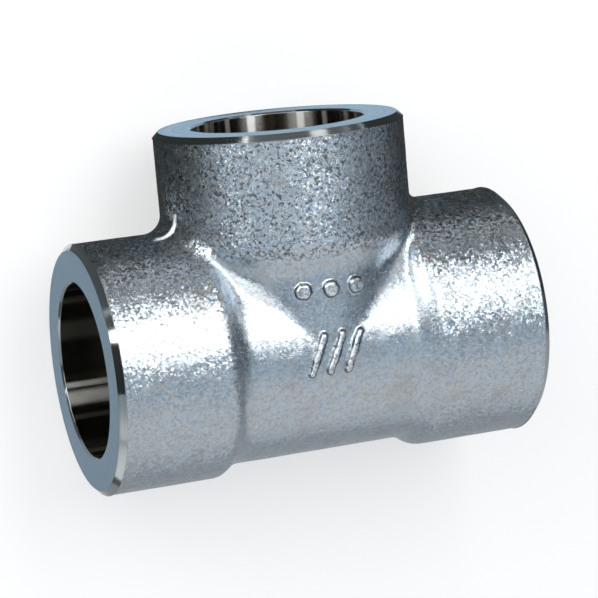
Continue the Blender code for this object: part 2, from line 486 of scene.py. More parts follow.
@dataclass
class Arm:
    """One arm of the tee, as columns of points from the crossing over the mouth and back."""

    axis: Vector
    side: Vector
    socket_bottom: float
    seamed_behind: bool
    sizes: ForgingSizes
    columns: int = 240
    skin_rows: int = 66
    waterway_rows: int = 6
    edge_ease: float = 0.02 * MM
    ease_steps: int = 3
    plain_rim: float = 0.3 * MM
    hub_share: float = 0.7
    digits: int = 9

    def profile(self) -> list[tuple[float, float, Finish]]:
        """Turned profile from the waterway's end to the collar's edge.

        Returns:
            Stations, radii and the finish of the face that follows each.
        """
        sizes = self.sizes
        reach = self.socket_bottom + sizes.socket_depth
        bottom_edge = sizes.waterway_radius + sizes.waterway_chamfer
        corners = [
            (self.socket_bottom - sizes.waterway_chamfer - self.plain_rim, sizes.waterway_radius),
            (self.socket_bottom - sizes.waterway_chamfer, sizes.waterway_radius),
            (self.socket_bottom, bottom_edge),
            (self.socket_bottom, sizes.socket_radius),
            (reach - sizes.mouth_chamfer, sizes.socket_radius),
            (reach, sizes.socket_radius + sizes.mouth_chamfer),
            (reach, sizes.collar_radius - sizes.face_chamfer),
            (reach - sizes.face_chamfer, sizes.collar_radius),
            (reach - sizes.face_chamfer - self.plain_rim, sizes.collar_radius),
        ]
        finishes = [Finish.BORED, Finish.POLISHED, Finish.TURNED, Finish.BORED]
        finishes += [Finish.POLISHED, Finish.TURNED, Finish.POLISHED, Finish.BLASTED]
        rows = [(*corners[0], finishes[0])]
        for index in range(1, len(corners) - 1):
            rows += self.eased(corners[index - 1 : index + 2], finishes[index - 1], finishes[index])
        return rows + [(*corners[-1], Finish.BLASTED)]

    def eased(
        self, corners: list[tuple[float, float]], before: Finish, after: Finish
    ) -> list[tuple[float, float, Finish]]:
        """Break one corner of the profile with a small round.

        Args:
            corners: the corner between its two neighbours.
            before: finish of the face that ends here.
            after: finish of the face that starts here.

        Returns:
            Points of the round, with a narrow face on either side of it.
        """
        behind, here, ahead = (np.array(corner) for corner in corners)
        back = (behind - here) / np.linalg.norm(behind - here)
        on = (ahead - here) / np.linalg.norm(ahead - here)
        round_points = []
        for step in range(self.ease_steps + 1):
            share = step / self.ease_steps
            pull_back = self.edge_ease * (1 - share) ** 2
            pull_on = self.edge_ease * share**2
            round_points.append(here + pull_back * back + pull_on * on)
        points = [here + 2 * self.edge_ease * back, *round_points, here + 2 * self.edge_ease * on]
        eased_finish = Finish.BLASTED if after == Finish.BLASTED else Finish.POLISHED
        finishes = [before] + [eased_finish] * self.ease_steps + [after] * 2
        return [(*point, finish) for point, finish in zip(points, finishes)]

    def rays(self, radius: float) -> tuple[np.ndarray, np.ndarray, np.ndarray]:
        """Rays that find where each column meets the neighbouring arm.

        Args:
            radius: of the skin on whose seam the columns end.

        Returns:
            The columns' spokes, and the starts and ways of the rays.
        """
        axis, side, up = (np.array(vector) for vector in (self.axis, self.side, Z_AXIS))
        angle = np.arange(self.columns) * 2 * math.pi / self.columns
        across = np.round(np.cos(angle), self.digits)[:, None]
        over = np.round(np.sin(angle), self.digits)[:, None]
        spokes = across * side + over * up
        seamed = (across > 0) | ((across < 0) & self.seamed_behind)
        diagonal = axis + np.sign(across) * side
        hub = self.hub_share * radius / math.sqrt(2) * diagonal
        aim = radius * (np.abs(across) * diagonal + over * up) - hub
        starts = np.where(seamed, hub, 0.0)
        ways = np.where(seamed, aim / np.linalg.norm(aim, axis=1)[:, None], spokes)
        return spokes, starts, ways

    def layout(self) -> tuple[np.ndarray, dict[str, np.ndarray], list[Finish]]:
        """Lay the arm's points out before the rule moves them.

        Returns:
            Places by column and row, what each point keeps for the rule, and finishes by row.
        """
        profile = self.profile()
        inner_shares = np.linspace(0, 1, self.waterway_rows + 1)[:-1]
        outer_shares = np.linspace(1, 0, self.skin_rows + 1)[1:]
        turned = np.array([row[:2] for row in profile])
        rows = len(inner_shares) + len(turned) + len(outer_shares)
        inner = np.zeros(rows)
        inner[: len(inner_shares)] = 1
        on_ray = np.ones(rows)
        on_ray[len(inner_shares) : len(inner_shares) + len(turned)] = 0
        share = np.concatenate([inner_shares, np.ones(len(turned)), outer_shares])
        top = np.where(inner > 0, turned[0, 0], turned[-1, 0])
        inner_spokes, inner_starts, inner_ways = self.rays(self.sizes.waterway_radius)
        spokes, outer_starts, outer_ways = self.rays(self.sizes.body_radius)
        within = (inner > 0)[None, :, None]
        shape = (self.columns, rows, 3)
        places = np.zeros(shape)
        middle = slice(len(inner_shares), len(inner_shares) + len(turned))
        axis = np.array(self.axis)
        places[:, middle] = turned[:, 0][:, None] * axis
        places[:, middle] += turned[:, 1][None, :, None] * spokes[:, None, :]
        travel = np.concatenate([[0], np.cumsum(np.hypot(*np.diff(turned, axis=0).T))])
        lathe = np.zeros(shape)
        lathe[..., 0] = spokes @ np.array(self.side)[:, None]
        lathe[..., 1] = spokes[:, 2][:, None]
        lathe[:, middle, 2] = travel
        kept = {
            "axis": np.broadcast_to(axis, shape),
            "side": np.broadcast_to(np.array(self.side), shape),
            "spoke": np.broadcast_to(spokes[:, None, :], shape),
            "seam_start": np.where(within, inner_starts[:, None, :], outer_starts[:, None, :]),
            "seam_way": np.where(within, inner_ways[:, None, :], outer_ways[:, None, :]),
            "lathe": lathe,
            "share": np.broadcast_to(share, shape[:2]),
            "top": np.broadcast_to(top, shape[:2]),
            "inner": np.broadcast_to(inner, shape[:2]),
            "on_ray": np.broadcast_to(on_ray, shape[:2]),
            "behind": np.full(shape[:2], float(self.seamed_behind)),
        }
        finishes = [Finish.BORED] * len(inner_shares)
        finishes += [finish for _, _, finish in profile]
        finishes += [Finish.BLASTED] * (len(outer_shares) - 1)
        return places, kept, finishes

    def right_handed(self) -> bool:
        """Whether side, up and axis turn like X, Y and Z."""
        return self.side.cross(Z_AXIS).dot(self.axis) > 0


@dataclass
class Marks:
    """Plain raised pips and slanting strokes on the pad below the branch."""

    pip_row: float = 6.7 * MM
    pip_pitch: float = 2.8 * MM
    pip_count: int = 3
    pip_radius: float = 0.98 * MM
    stroke_row: float = 0.2 * MM
    stroke_pitch: float = 1.9 * MM
    stroke_count: int = 3
    stroke_length: float = 3.6 * MM
    stroke_lean: float = 1.6 * MM
    stroke_width: float = 0.62 * MM
    height: float = 0.42 * MM
    slope: float = 0.42 * MM
    ripple: float = 0.9 * MM
    unevenness: float = 0.20 * MM

    def row(
        self, tree: GeometryTree, count: Value, pitch: Value, height: Value
    ) -> Socket:
        """A row of points across the pad, centred on the branch's axis."""
        start = tree.combined((count - 1) * pitch * -0.5, height)
        sockets = {"Count": count, "Start Location": start, "Offset": tree.combined(pitch)}
        return tree.out("GeometryNodeMeshLine", {"mode": "OFFSET"}, sockets)

    def distance(self, tree: GeometryTree, target: Socket, kind: str) -> Value:
        """Distance across the pad to the nearest point or edge of a target."""
        place = tree.place("GeometryNodeInputPosition", {}, {})
        sockets = {"Vector": place, "Scale": 1 / self.ripple}
        shift = tree.place("ShaderNodeTexNoise", {}, sockets, "Color") - MIDDLE_GREY
        flat = (place + shift * (2 * self.unevenness)).stretched(Vector((1, 1, 0)))
        sockets = {"Geometry": target, "Sample Position": flat}
        return tree.value("GeometryNodeProximity", {"target_element": kind}, sockets, "Distance")

    def raised(self, tree: GeometryTree) -> Value:
        """Share of the marks' height over the forging's skin."""
        pips = self.row(
            tree,
            tree.count("Pip Count", self.pip_count),
            tree.size("Pip Pitch", self.pip_pitch),
            tree.size("Pip Row", self.pip_row),
        )
        stroke_row = self.row(
            tree,
            tree.count("Stroke Count", self.stroke_count),
            tree.size("Stroke Pitch", self.stroke_pitch),
            tree.size("Stroke Row", self.stroke_row),
        )
        half = tree.size("Stroke Length", self.stroke_length) * 0.5
        lean = tree.size("Stroke Lean", self.stroke_lean) * 0.5
        low, high = tree.combined(-lean, -half), tree.combined(lean, half)
        sockets = {"Count": 2, "Start Location": low, "Offset": high}
        stroke = tree.out("GeometryNodeMeshLine", {"mode": "END_POINTS"}, sockets)
        sockets = {"Points": stroke_row, "Instance": stroke}
        strokes = tree.out("GeometryNodeInstanceOnPoints", {}, sockets)
        strokes = tree.out("GeometryNodeRealizeInstances", {}, {"Geometry": strokes})
        to_pip = self.distance(tree, pips, "POINTS")
        to_stroke = self.distance(tree, strokes, "EDGES")
        pip = to_pip.rise(self.pip_radius, self.pip_radius - self.slope)
        half_width = self.stroke_width / 2
        bar = to_stroke.rise(half_width + self.slope / 2, half_width - self.slope / 2)
        upper = tree.place("GeometryNodeInputPosition", {}, {}).part("Z") > 0.0
        return pip.at_least(bar) * upper


@dataclass
class Forging:
    """The whole tee, as one closed piece that stands for the solid."""

    name: str = "tee_forging"
    sizes: ForgingSizes = field(default_factory=ForgingSizes)
    marks: Marks = field(default_factory=Marks)
    weld_distance: float = 0.002 * MM
    halvings: int = 26
    fine_cuts: int = 2
    lump_size: float = 5.0 * MM
    lump_depth: float = 0.12 * MM
    dimple_size: float = 0.9 * MM
    dimple_depth: float = 0.035 * MM
    flash_height: float = 0.30 * MM
    flash_half_width: float = 0.38 * MM
    flash_level: float = 2.6 * MM
    flash_near: float = 12.0 * MM
    flash_far: float = 14.6 * MM
    flash_fade: float = 1.0 * MM
    collar_from: float = 0.2 * MM
    collar_full: float = 1.0 * MM
    # What the points keep only while the trees run
    scaffold: tuple = (
        "axis", "side", "spoke", "seam_start", "seam_way", "ray_start", "ray_way", "ray_end",
        "reach", "limit", "share", "top", "inner", "on_ray", "behind",
    )
    # Lowest and highest corners of the zones with marks or flash, in millimetres from the crossing
    pad_zone: tuple = ((-4.9, -2.6, 6.0), (4.9, 8.6, 14.0))
    flash_zone: tuple = ((-15.8, 11.2, 1.8), (-11.2, 15.8, 3.4))
    seed: int = 7

    def arms(self) -> list[Arm]:
        """The two ends of the run and the branch."""
        run, branch = self.sizes.run_socket_bottom, self.sizes.branch_socket_bottom
        return [
            Arm(X_AXIS, Y_AXIS, run, False, self.sizes),
            Arm(-X_AXIS, Y_AXIS, run, False, self.sizes),
            Arm(Y_AXIS, X_AXIS, branch, True, self.sizes),
        ]

    def cage(self) -> bpy.types.Object:
        """Quads of all arms, with what the rule needs kept at each point."""
        places, kept, faces, finishes = [], {}, [], []
        offset = 0
        for arm in self.arms():
            points, arm_kept, arm_finishes = arm.layout()
            columns, rows, _ = points.shape
            index = np.arange(columns * rows).reshape(columns, rows) + offset
            following = np.roll(index, -1, axis=0)
            corners = [index[:, :-1], following[:, :-1], following[:, 1:], index[:, 1:]]
            if arm.right_handed():
                corners.reverse()
            faces.append(np.stack(corners, axis=-1).reshape(-1, 4))
            finishes.append(np.tile([int(finish) for finish in arm_finishes], columns))
            places.append(points.reshape(-1, 3))
            for key, values in arm_kept.items():
                width = values.shape[2:] or ()
                kept.setdefault(key, []).append(values.reshape(-1, *width))
            offset += columns * rows
        mesh = bpy.data.meshes.new(self.name)
        mesh.from_pydata(np.concatenate(places), [], np.concatenate(faces).tolist())
        for key, parts in kept.items():
            values = np.concatenate(parts)
            kind, name = ("FLOAT", "value") if values.ndim == 1 else ("FLOAT_VECTOR", "vector")
            attribute = mesh.attributes.new(key, kind, "POINT")
            attribute.data.foreach_set(name, np.ascontiguousarray(values, np.float32).ravel())
        finish = mesh.attributes.new("finish", "INT", "FACE")
        finish.data.foreach_set("value", np.concatenate(finishes).astype(np.int32))
        piece = bpy.data.objects.new(self.name, mesh)
        bpy.context.scene.collection.objects.link(piece)
        return piece

    def reached(
        self, tree: GeometryTree, geometry: Socket, rule: ForgingRule
    ) -> Socket:
        """Halve each ray's length until it ends on the skin.

        Args:
            tree: the tree that grows.
            geometry: points that keep ray_start, ray_way and limit.
            rule: what says whether a point is inside.

        Returns:
            The points, which now keep ray_end.
        """
        limit = tree.number_at("limit")
        geometry = tree.kept(geometry, "reach", limit * 0.5)
        entry = tree.nodes.nodes.new("GeometryNodeRepeatInput")
        leave = tree.nodes.nodes.new("GeometryNodeRepeatOutput")
        entry.pair_with_output(leave)
        leave.repeat_items.new("FLOAT", "Step")
        entry.inputs["Iterations"].default_value = self.halvings
        tree.feed(entry.inputs["Geometry"], geometry)
        tree.feed(entry.inputs["Step"], 0.25)
        step = Value(tree, entry.outputs["Step"])
        reach = tree.number_at("reach")
        point = tree.place_at("ray_start") + tree.place_at("ray_way") * reach
        inside = rule.skin(point, tree.number_at("inner")) < 0.0
        onward = tree.number_at("limit") * step * (inside * 2 - 1)
        moved = tree.kept(entry.outputs["Geometry"], "reach", reach + onward)
        tree.feed(leave.inputs["Geometry"], moved)
        tree.feed(leave.inputs["Step"], step * 0.5)
        reach = tree.number_at("reach")
        end = tree.place_at("ray_start") + tree.place_at("ray_way") * reach
        return tree.kept(leave.outputs["Geometry"], "ray_end", end)

    def forging_tree(self) -> GeometryTree:
        """Tree that moves the cage's points out to the skins by the rule.

        Returns:
            The tree, not yet run.
        """
        tree = GeometryTree("forging_rule")
        rule = ForgingRule(self.sizes)
        longest = tree.size("Longest Ray", 2 * self.sizes.collar_radius)
        geometry = tree.entry.outputs["Geometry"]
        geometry = tree.kept(geometry, "ray_start", tree.place_at("seam_start"))
        geometry = tree.kept(geometry, "ray_way", tree.place_at("seam_way"))
        geometry = tree.kept(geometry, "limit", longest)
        geometry = self.reached(tree, geometry, rule)
        seam, axis = tree.place_at("ray_end"), tree.place_at("axis")
        share = tree.number_at("share")
        seam_station = seam.dot(axis)
        lean = (seam - axis * seam_station).unit()
        station = tree.blend(share, seam_station, tree.number_at("top"))
        way = tree.blend_places(share, lean, tree.place_at("spoke")).unit()
        geometry = tree.kept(geometry, "ray_way", way)
        geometry = tree.kept(geometry, "ray_start", axis * station)
        way = tree.place_at("ray_way")
        towards = way.dot(tree.place_at("side"))
        towards = towards.at_least(towards * -1.0 * tree.number_at("behind"))
        seamed = towards > rule.nearly_parallel
        to_seam = tree.place_at("ray_start").length() / towards.at_least(rule.nearly_parallel)
        limit = tree.blend(seamed, longest, to_seam.at_most(longest))
        geometry = tree.kept(geometry, "limit", limit)
        geometry = self.reached(tree, geometry, rule)
        on_ray = tree.number_at("on_ray") > 0.5
        sockets = {"Geometry": geometry, "Selection": on_ray, "Position": tree.place_at("ray_end")}
        geometry = tree.out("GeometryNodeSetPosition", {}, sockets)
        sockets = {"Geometry": geometry, "Distance": tree.size("Weld Distance", self.weld_distance)}
        geometry = tree.out("GeometryNodeMergeByDistance", {}, sockets)
        place = tree.place("GeometryNodeInputPosition", {}, {})
        body, collars, _ = rule.skins(place)
        on_collar = (body - collars).rise(self.collar_from, self.collar_full)
        geometry = tree.kept(geometry, "on_collar", on_collar)
        exit_node = tree.nodes.nodes.new("NodeGroupOutput")
        tree.nodes.links.new(geometry, exit_node.inputs[0])
        return tree

    def skin_tree(self, materials: dict[Finish, Material]) -> GeometryTree:
        """Tree that raises the marks, leaves lumps and dimples, and dresses the faces.

        Args:
            materials: one for each finish.

        Returns:
            The tree, not yet run.
        """
        tree = GeometryTree("blasted_skin")
        place = tree.place("GeometryNodeInputPosition", {}, {})
        shift = tree.count("Seed", self.seed)
        sought = place + tree.combined(shift, shift)
        skin_share = tree.number_at("skin_share")
        lumps = tree.noise(sought, self.lump_size, 1.0) * tree.size("Lump Depth", self.lump_depth)
        dimples = tree.noise(sought, self.dimple_size, 2.0)
        dimples = dimples * tree.size("Dimple Depth", self.dimple_depth)
        marks, flash = self.marks.raised(tree), self.flash(tree, place)
        away = marks * tree.size("Mark Height", self.marks.height) - (lumps + dimples)
        away = away + flash * tree.size("Flash Height", self.flash_height)
        geometry = tree.kept(tree.entry.outputs["Geometry"], "trimmed", flash * skin_share)
        geometry = tree.kept(geometry, "mark", marks * skin_share)
        normal = tree.place("GeometryNodeInputNormal", {}, {})
        sockets = {"Geometry": geometry, "Offset": normal * (away * skin_share)}
        geometry = tree.out("GeometryNodeSetPosition", {}, sockets)
        sockets = {"Geometry": geometry, "Translation": self.sizes.crossing()}
        geometry = tree.out("GeometryNodeTransform", {}, sockets)
        geometry = tree.out("GeometryNodeSetShadeSmooth", {}, {"Geometry": geometry})
        tree.dressed(geometry, materials)
        return tree

    def flash(self, tree: GeometryTree, place: Place) -> Value:
        """Share of the trimmed flash that the dies left in one corner below the branch."""
        across, along = -place.part("X"), place.part("Y")
        near, far, fade = self.flash_near, self.flash_far, self.flash_fade
        corner = across.at_most(along).rise(near - fade, near)
        corner = corner * across.at_least(along).rise(far + fade, far)
        aside = (place.part("Z") - self.flash_level).size()
        return corner * aside.rise(tree.size("Flash Width", self.flash_half_width), 0.0)

    def refined(self, piece: bpy.types.Object) -> None:
        """Divide the faces of the zones that carry marks or flash."""
        builder = bmesh.new()
        builder.from_mesh(piece.data)
        chosen = set()
        for face in builder.faces:
            middle = face.calc_center_median()
            for low, high in (self.pad_zone, self.flash_zone):
                if all(low[axis] * MM < middle[axis] < high[axis] * MM for axis in range(3)):
                    chosen.update(face.edges)
        edges = list(chosen)
        bmesh.ops.subdivide_edges(builder, edges=edges, cuts=self.fine_cuts, use_grid_fill=True)
        builder.to_mesh(piece.data)
        builder.free()

    def build(self, materials: dict[Finish, Material]) -> bpy.types.Object:
        """Build the finished tee.

        Args:
            materials: one for each finish.

        Returns:
            The piece, in place on the bench.
        """
        piece = self.cage()
        self.forging_tree().applied(piece)
        self.mark_skin(piece.data)
        self.refined(piece)
        self.skin_tree(materials).applied(piece)
        piece.data.name = self.name
        for name in self.scaffold:
            if name in piece.data.attributes:
                piece.data.attributes.remove(piece.data.attributes[name])
        return piece

    def mark_skin(self, mesh: bpy.types.Mesh) -> None:
        """Keep at each point whether only blasted faces meet there."""
        finish = np.zeros(len(mesh.polygons), np.int32)
        mesh.attributes["finish"].data.foreach_get("value", finish)
        corners = np.zeros(len(mesh.loops), np.int32)
        mesh.loops.foreach_get("vertex_index", corners)
        totals = np.zeros(len(mesh.polygons), np.int32)
        mesh.polygons.foreach_get("loop_total", totals)
        blasted = np.repeat(finish == int(Finish.BLASTED), totals)
        share = np.ones(len(mesh.vertices), np.float32)
        share[corners[~blasted]] = 0.0
        kept = mesh.attributes.new("skin_share", "FLOAT", "POINT")
        kept.data.foreach_set("value", share)


class Surface:
    """A metal surface under construction: its tree, its coordinates and its shader."""

    def __init__(self, name: str, roughness: float, colour: tuple, metallic: float = 1.0) -> None:
        """Make a metal material with nothing varying yet.

        Args:
            name: name of the material.
            roughness: how matte it is, from 0 to 1.
            colour: its colour, red, green, blue and one.
            metallic: share of it that is bare metal, the rest being a matte oxide.
        """
        self.material = bpy.data.materials.new(name)
        self.material.use_nodes = True
        self.tree = Tree(self.material.node_tree)
        self.shader = self.material.node_tree.nodes["Principled BSDF"]
        self.shader.inputs["Metallic"].default_value = metallic
        self.shader.inputs["Roughness"].default_value = roughness
        self.shader.inputs["Base Color"].default_value = colour
        self.material.diffuse_color = colour
        self.place = self.tree.place("ShaderNodeTexCoord", {}, {}, "Object")

    def number_at(self, name: str) -> Value:
        """Number that the mesh keeps under a name."""
        return self.tree.value("ShaderNodeAttribute", {"attribute_name": name}, {}, "Fac")

    def place_at(self, name: str) -> Place:
        """Vector that the mesh keeps under a name."""
        return self.tree.place("ShaderNodeAttribute", {"attribute_name": name}, {}, "Vector")

    def set(self, name: str, value: Value | Place) -> None:
        """Link a value to the shader."""
        self.tree.feed(self.shader.inputs[name], value)

    def bumped(self, height: Value, depth: float, strength: float = 1.0) -> None:
        """Give the surface relief.

        Args:
            height: relief from zero to one.
            depth: how deep a height of one is, in metres.
            strength: share of the relief that shows.
        """
        sockets = {"Strength": strength, "Distance": depth, "Height": height}
        self.set("Normal", self.tree.place("ShaderNodeBump", {}, sockets, "Normal"))


@dataclass(frozen=True)
class BlastedSkin:
    """Shot-blasted forging skin: coarse grain on the collars, finer on the shoulders and body.

    Each step gives the values where a thing starts to show and where it shows in full.
    """

    cool_colour: tuple = (0.415, 0.487, 0.555, 1.0)
    warm_colour: tuple = (0.455, 0.487, 0.505, 1.0)
    pit_and_foot_shade_colour: tuple = (0.04, 0.045, 0.055, 1.0)
    stain_colour: tuple = (0.34, 0.30, 0.28, 1.0)
    facet: float = 0.23 * MM
    facet_tilt: float = 0.23
    grain: float = 0.36 * MM
    fine_grain: float = 0.13 * MM
    grain_depth: float = 0.024 * MM
    fine_depth: float = 0.011 * MM
    pit: float = 0.38 * MM
    pit_depth: float = 0.020 * MM
    warp: float = 0.06 * MM
    pit_share: float = 0.12
    branch_pit_share: float = 0.78
    tone_share: float = 0.06
    branch_tone_share: float = 0.20
    branch_from: float = 4.5 * MM
    body_share: float = 0.38
    roughness: float = 0.24
    roughness_range: tuple = (0.20, 0.28)
    patch: float = 2.0 * MM
    hue: float = 0.5 * MM
    stain: float = 3.5 * MM
    stain_share: float = 0.35
    pit_step: tuple = (0.50, 0.39)
    tone_step: tuple = (0.36, 0.60)
    hue_step: tuple = (0.38, 0.62)
    stain_step: tuple = (0.50, 0.72)
    patch_step: tuple = (0.3, 0.7)
    mark_foot: tuple = (0.02, 0.25)
    mark_brow: tuple = (0.85, 0.5)
    mark_top: tuple = (0.7, 1.0)
    rub_and_highlight_step: tuple = (0.40, 0.60)
    # Near white of the ground flash and of the marks' rubbed tops, partly a painted glint
    trimmed_glint_colour: tuple = (0.92, 0.92, 0.92, 1.0)
    trimmed_roughness: float = 0.45
    # Strength of the painted shade at the marks' feet
    mark_foot_shade: float = 0.72
    # Share of painted highlight, as rubbed metal, on the marks' tops
    mark_rub_and_highlight: float = 0.55

    def facets(self, tree: Tree, place: Place) -> Value:
        """Height in millimetres of small flat facets that each lean their own way."""
        sockets = {"Vector": place, "Scale": 1 / self.fine_grain}
        shift = tree.place("ShaderNodeTexNoise", {}, sockets, "Color") - MIDDLE_GREY
        warped = place + shift * (2 * self.warp)
        sockets = {"Vector": warped, "Scale": 1 / self.facet, "Randomness": 1.0}
        cells = tree.node("ShaderNodeTexVoronoi", {"feature": "F1"}, sockets)
        lean = Place(tree, cells.outputs["Color"]) - MIDDLE_GREY
        middle = Place(tree, cells.outputs["Position"])
        return lean.dot(warped - middle) * (self.facet_tilt / MM)

    def material(self) -> Material:
        """Make the material."""
        surface = Surface("blasted_skin", self.roughness, self.cool_colour)
        tree, place = surface.tree, surface.place
        collar = surface.number_at("on_collar")
        coarse_share = tree.blend(collar, self.body_share, 1.0)
        lumps = tree.noise(place, self.grain, 2.0, rough=0.6) * self.grain_depth
        speck = tree.noise(place, self.pit, 3.0, rough=0.75)
        pits = speck.rise(*self.pit_step)
        on_branch = place.part("Y").rise(self.branch_from - MM, self.branch_from + MM) * collar
        dark = pits * tree.blend(on_branch, self.pit_share, self.branch_pit_share)
        height = self.facets(tree, place) + (lumps - dark * self.pit_depth) / MM
        fine = tree.noise(place, self.fine_grain, 1.0) * (self.fine_depth / MM)
        trimmed = surface.number_at("trimmed")
        surface.bumped((height * coarse_share + fine) * (1 - trimmed), MM)
        reach = tree.blend(on_branch, self.tone_share, self.branch_tone_share)
        shade = speck.rise(*self.tone_step, -1.0, 1.0) * reach + 1
        hue = tree.noise(place, self.hue, 3.0, rough=0.7).rise(*self.hue_step)
        stains = tree.noise(place, self.stain, 3.0, rough=0.65).rise(*self.stain_step)
        colour = tree.blend_colours(hue, self.cool_colour, self.warm_colour)
        colour = tree.blend_colours(dark, tree.shaded(colour, shade), self.pit_and_foot_shade_colour)
        colour = tree.blend_colours(stains * self.stain_share, colour, self.stain_colour)
        mark = surface.number_at("mark")
        # Painted shade: a dark ring in the pits' colour at the foot of each raised mark, where
        # shade falls.
        edge = mark.rise(*self.mark_foot) * mark.rise(*self.mark_brow) * self.mark_foot_shade
        colour = tree.blend_colours(edge, colour, self.pit_and_foot_shade_colour)
        # Painted highlight: the marks' tops go near white in speckled patches, rubbed metal
        # brightened to stand in for the light they catch.
        rub_and_highlight = mark.rise(*self.mark_top) * speck.rise(*self.rub_and_highlight_step) * self.mark_rub_and_highlight
        # The trimmed flash is painted near white as well: a ground face whose brightness also
        # stands in for its glint.
        rubbed_and_glinting = trimmed.at_least(rub_and_highlight)
        surface.set("Base Color", tree.blend_colours(rubbed_and_glinting, colour, self.trimmed_glint_colour))
        patches = tree.noise(place, self.patch, 2.0)
        patches = patches.rise(*self.patch_step, *self.roughness_range)
        surface.set("Roughness", tree.blend(rubbed_and_glinting, patches, self.trimmed_roughness))
        return surface.material


@dataclass(frozen=True)
class TurnedSteel:
    """Faces that were turned on a lathe: fine rings around the bore."""

    name: str = "turned_face"
    colour: tuple = (0.228, 0.332, 0.422, 1.0)
    ring: float = 0.09 * MM
    depth: float = 0.003 * MM
    roughness: float = 0.17
    tone: float = 0.05
    chatter: float = 0.3
    broad_chatter: float = 1.2
    broad_share: float = 0.25
    noise_step: tuple = (0.3, 0.7)
    roughness_shares: tuple = (0.8, 1.3)
    metallic: float = 0.7

    def material(self) -> Material:
        """Make the material."""
        surface = Surface(self.name, self.roughness, self.colour, self.metallic)
        tree = surface.tree
        lathe = surface.place_at("lathe")
        around = lathe.stretched(Vector((self.chatter, self.chatter, 1 / self.ring)))
        rings = tree.noise(around, 1.0, 2.0, rough=0.5)
        surface.bumped(rings, self.depth)
        broad_ring = self.broad_share / self.ring
        around = lathe.stretched(Vector((self.broad_chatter, self.broad_chatter, broad_ring)))
        shade = tree.noise(around, 1.0, 2.0).rise(*self.noise_step, 1 - self.tone, 1 + self.tone)
        surface.set("Base Color", tree.shaded(self.colour, shade))
        low, high = (self.roughness * share for share in self.roughness_shares)
        surface.set("Roughness", rings.rise(*self.noise_step, low, high))
        return surface.material


@dataclass(frozen=True)
class BoredWall:
    """Bored socket walls: close rings on a dark brownish ground, crossed by painted bright streaks
    that stand in for the lamps' reflections along the bore.
    """

    colour: tuple = (0.30, 0.28, 0.23, 1.0)
    painted_streak_colour: tuple = (0.95, 0.94, 0.91, 1.0)
    ring: float = 0.12 * MM
    depth: float = 0.006 * MM
    roughness: float = 0.13
    painted_streak_roughness: float = 0.58
    branch_from: float = 7.0 * MM
    chatter: float = 0.3
    waver: float = 9.0
    waver_length: float = 2.5 * MM
    waver_step: tuple = (0.3, 0.6)
    waver_range: tuple = (0.7, 1.0)
    # Where each painted streak starts and where it is full, as shares of its half width
    mark_foot: float = 1.5
    mark_top: float = 0.3
    # Bearing and half width in degrees, and strength, of each painted reflection streak around a
    # bore
    run_painted_streaks: tuple = (
        (-71, 7, 0.25), (-109, 2, 0.7), (-118, 5, 0.7), (-132, 2, 0.25), (-158, 4, 0.15),
    )
    branch_painted_streaks: tuple = (
        (-89, 3, 1.0), (-89, 8, 0.35), (-55, 3, 0.9), (-55, 9, 0.5), (-107, 2, 0.5), (-121, 2, 0.3),
        (-37, 2, 0.5), (-18, 2, 0.4),
    )

    def marks(self, lathe: Place, angles: tuple) -> Value:
        """Share of painted reflection streak around a bore.

        Args:
            lathe: cosine and sine around the bore.
            angles: bearing and half width in degrees, and strength, of each painted streak.

        Returns:
            One on a painted streak, zero between them.
        """
        shares = []
        for bearing, half_width, strength in angles:
            turn, reach = math.radians(bearing), math.radians(half_width)
            cosine = lathe.dot(Vector((math.cos(turn), math.sin(turn), 0)))
            foot, top = math.cos(reach * self.mark_foot), math.cos(reach * self.mark_top)
            shares.append(cosine.rise(foot, top, 0.0, strength))
        return reduce(Value.at_least, shares)

    def material(self) -> Material:
        """Make the material."""
        surface = Surface("bored_wall", self.roughness, self.colour)
        tree = surface.tree
        lathe = surface.place_at("lathe")
        around = lathe.stretched(Vector((self.chatter, self.chatter, 1 / self.ring)))
        surface.bumped(tree.noise(around, 1.0, 2.0, rough=0.5), self.depth)
        on_branch = surface.place.part("Y") > self.branch_from
        run = self.marks(lathe, self.run_painted_streaks)
        share = tree.blend(on_branch, run, self.marks(lathe, self.branch_painted_streaks))
        along = lathe.stretched(Vector((self.waver, self.waver, 1 / self.waver_length)))
        wavering = tree.noise(along, 1.0, 2.0).rise(*self.waver_step, *self.waver_range)
        # Painted reflection: near-white streaks at fixed bearings stand in for the lamps mirrored
        # along the bore.
        colour = tree.blend_colours(share * wavering, self.colour, self.painted_streak_colour)
        surface.set("Base Color", colour)
        surface.set("Roughness", tree.blend(share, self.roughness, self.painted_streak_roughness))
        return surface.material


def towards(bearing: float, height: float) -> Vector:
    """Direction by bearing and height, as the photograph's upright tee would have them.

    Args:
        bearing: angle from straight in front, to the right, in degrees.
        height: angle above the run's level, towards the branch, in degrees.

    Returns:
        The unit direction around the lying tee.
    """
    bearing, height = math.radians(bearing), math.radians(height)
    level = math.cos(height)
    return Vector((math.sin(bearing) * level, math.sin(height), math.cos(bearing) * level))


@dataclass(frozen=True)
class Softbox:
    """One soft light panel, sized by the angles that it fills."""

    name: str
    bearing: float
    height: float
    wide: float
    tall: float
    radiance: float
    distance: float = 0.5

    def build(self) -> None:
        """Hang the panel."""
        light = bpy.data.lights.new(self.name, "AREA")
        light.shape = "RECTANGLE"
        light.size = 2 * self.distance * math.tan(math.radians(self.wide / 2))
        light.size_y = 2 * self.distance * math.tan(math.radians(self.tall / 2))
        light.energy = self.radiance * math.pi * light.size * light.size_y
        panel = bpy.data.objects.new(self.name, light)
        away = towards(self.bearing, self.height)
        across = Y_AXIS.cross(away).normalized()
        turned = Matrix((across, away.cross(across), away)).transposed().to_4x4()
        panel.matrix_world = Matrix.Translation(away * self.distance) @ turned
        panel.visible_camera = False
        bpy.context.scene.collection.objects.link(panel)


